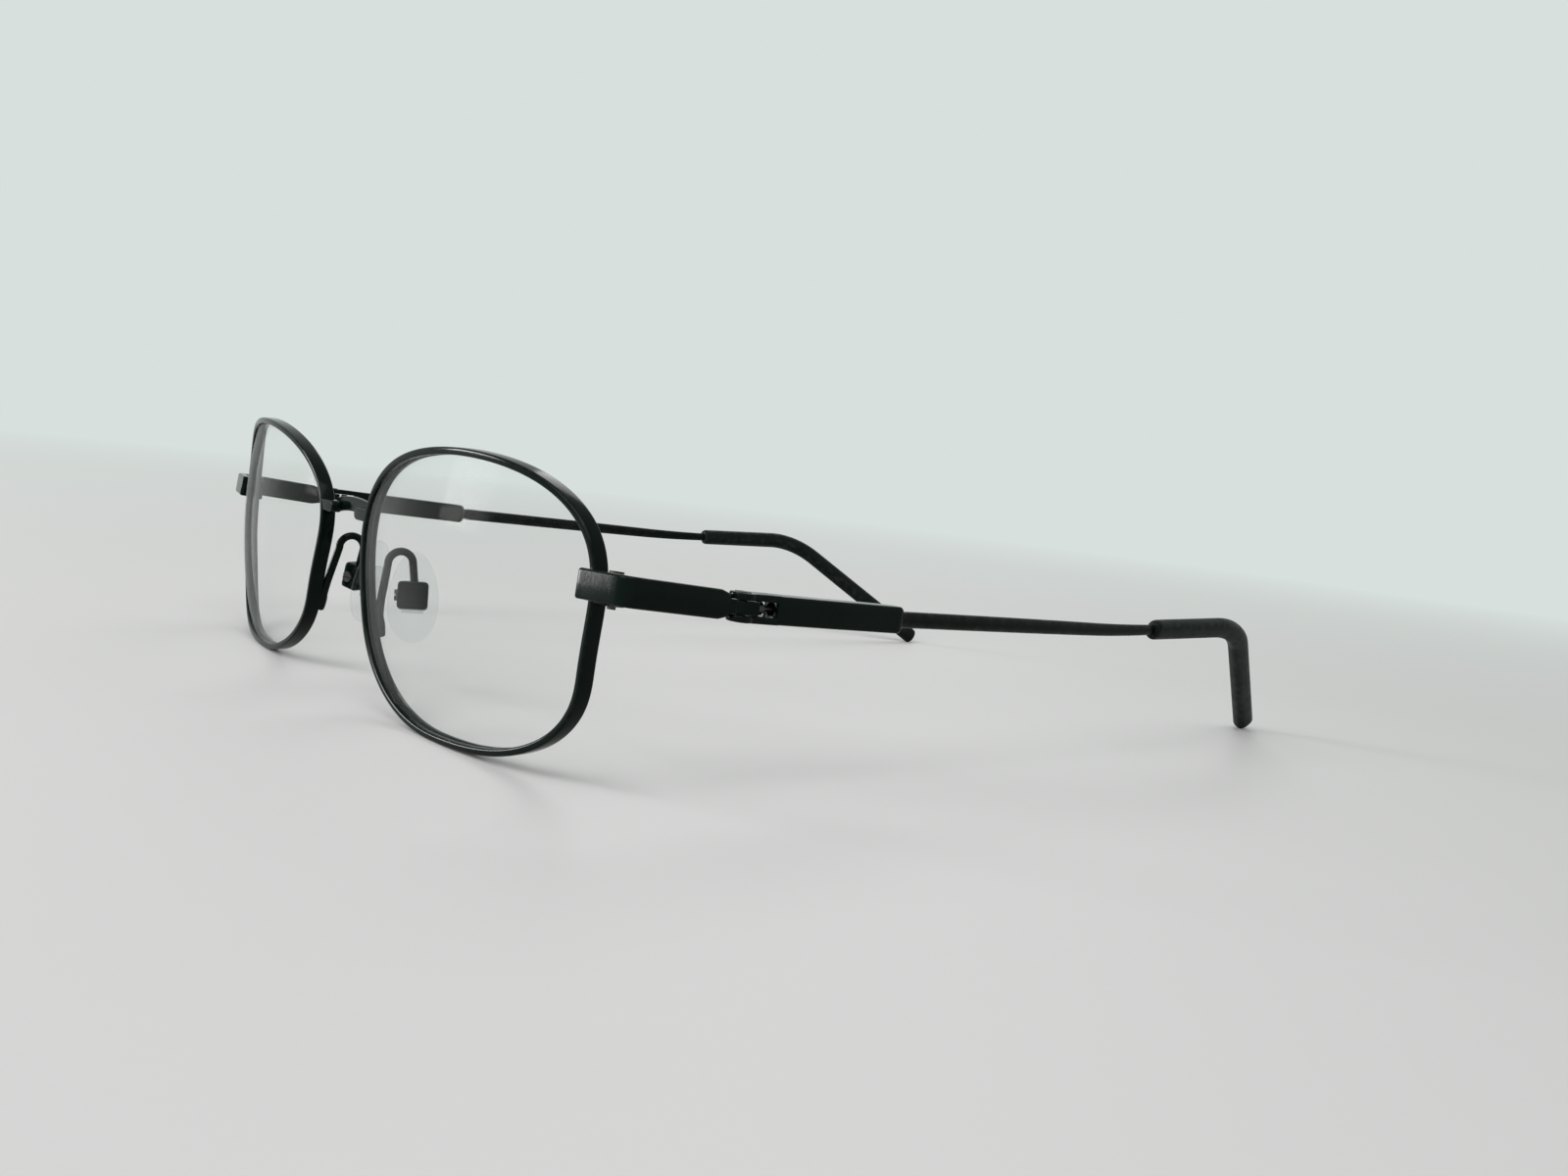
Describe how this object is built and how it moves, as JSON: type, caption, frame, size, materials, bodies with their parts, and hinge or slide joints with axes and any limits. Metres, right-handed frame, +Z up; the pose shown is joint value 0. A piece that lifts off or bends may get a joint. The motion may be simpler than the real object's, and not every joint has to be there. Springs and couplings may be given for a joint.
{
  "type": "eyeglass frame",
  "caption": "Full-rim metal eyeglass frame with soft-cornered oval clear lenses, spring-hinged folding temples, curved ear tips and adjustable clear nose pads.",
  "frame": {"origin": "under the middle of the frame's outer box, on the surface that the rims and the tips stand on", "axes": "+Z up; the front faces -Y and the temples run to +Y; +X is the wearer's left"},
  "size_m": [0.1362, 0.1631, 0.037],
  "materials": {
    "enamel": "gloss black enamel",
    "temple_wire": "satin black enamel",
    "tip": "satin black sleeve",
    "steel": "turned and darkened steel",
    "spring_steel": "drawn spring wire",
    "pad_core": "clear moulded core",
    "pad": "clear silicone",
    "lens": "clear polished plastic"
  },
  "bodies": {
    "front": {"left_rim": "enamel", "right_rim": "enamel", "left_lens": "lens", "right_lens": "lens", "bridge_bar": "enamel", "left_bridge_lug": "enamel", "right_bridge_lug": "enamel", "left_endpiece": "enamel", "right_endpiece": "enamel", "left_lock_upper": "enamel", "right_lock_upper": "enamel", "left_lock_lower": "enamel", "right_lock_lower": "enamel", "left_lock_screw": "steel", "right_lock_screw": "steel", "left_pad_arm": "enamel", "right_pad_arm": "enamel", "left_pad_box": "enamel", "right_pad_box": "enamel", "left_pad_screw": "steel", "right_pad_screw": "steel"},
    "left_pin": {"left_hinge_screw": "steel"},
    "left_temple": {"left_spring_box": "enamel", "left_spring": "spring_steel", "left_temple_wire": "temple_wire", "left_temple_tip": "tip"},
    "left_plunger": {"left_plunger": "steel"},
    "left_pad": {"left_pad_core": "pad_core", "left_pad": "pad"},
    "right_pin": {"right_hinge_screw": "steel"},
    "right_temple": {"right_spring_box": "enamel", "right_spring": "spring_steel", "right_temple_wire": "temple_wire", "right_temple_tip": "tip"},
    "right_plunger": {"right_plunger": "steel"},
    "right_pad": {"right_pad_core": "pad_core", "right_pad": "pad"}
  },
  "joints": [
    {"name": "left_fold", "type": "hinge", "parent": "front", "child": "left_pin", "pos_m": [0.066, -0.05741, 0.02281], "axis": [0, 0.0436, 0.999], "range_deg": [0, 87]},
    {"name": "left_flex", "type": "hinge", "parent": "left_pin", "child": "left_temple", "pos_m": [0.066, -0.05741, 0.02281], "axis": [0, 0.0436, 0.999], "range_deg": [-16, 0], "stiffness_Nm_per_rad": 0.3},
    {"name": "left_plunge", "type": "slide", "parent": "left_temple", "child": "left_plunger", "axis": [-0.0523, 0.9977, -0.0436], "range_m": [0, 0.00027], "deforming": ["left_spring"]},
    {"name": "left_pad_rock", "type": "hinge", "parent": "front", "child": "left_pad", "pos_m": [0.0102, -0.07268, 0.01503], "axis": [0.4226, 0.9054, 0.0395], "range_deg": [-8, 8]},
    {"name": "right_fold", "type": "hinge", "parent": "front", "child": "right_pin", "pos_m": [-0.066, -0.05741, 0.02281], "axis": [0, -0.0436, -0.999], "range_deg": [0, 79]},
    {"name": "right_flex", "type": "hinge", "parent": "right_pin", "child": "right_temple", "pos_m": [-0.066, -0.05741, 0.02281], "axis": [0, -0.0436, -0.999], "range_deg": [-16, 0], "stiffness_Nm_per_rad": 0.3},
    {"name": "right_plunge", "type": "slide", "parent": "right_temple", "child": "right_plunger", "axis": [0.0523, 0.9977, -0.0436], "range_m": [0, 0.00027], "deforming": ["right_spring"]},
    {"name": "right_pad_rock", "type": "hinge", "parent": "front", "child": "right_pad", "pos_m": [-0.0102, -0.07268, 0.01503], "axis": [0.4226, -0.9054, -0.0395], "range_deg": [-8, 8]}
  ],
  "couplings": [
    {"joint": "left_plunge", "follows": "left_flex", "m_per_rad": -0.00095},
    {"joint": "right_plunge", "follows": "right_flex", "m_per_rad": -0.00095}
  ]
}
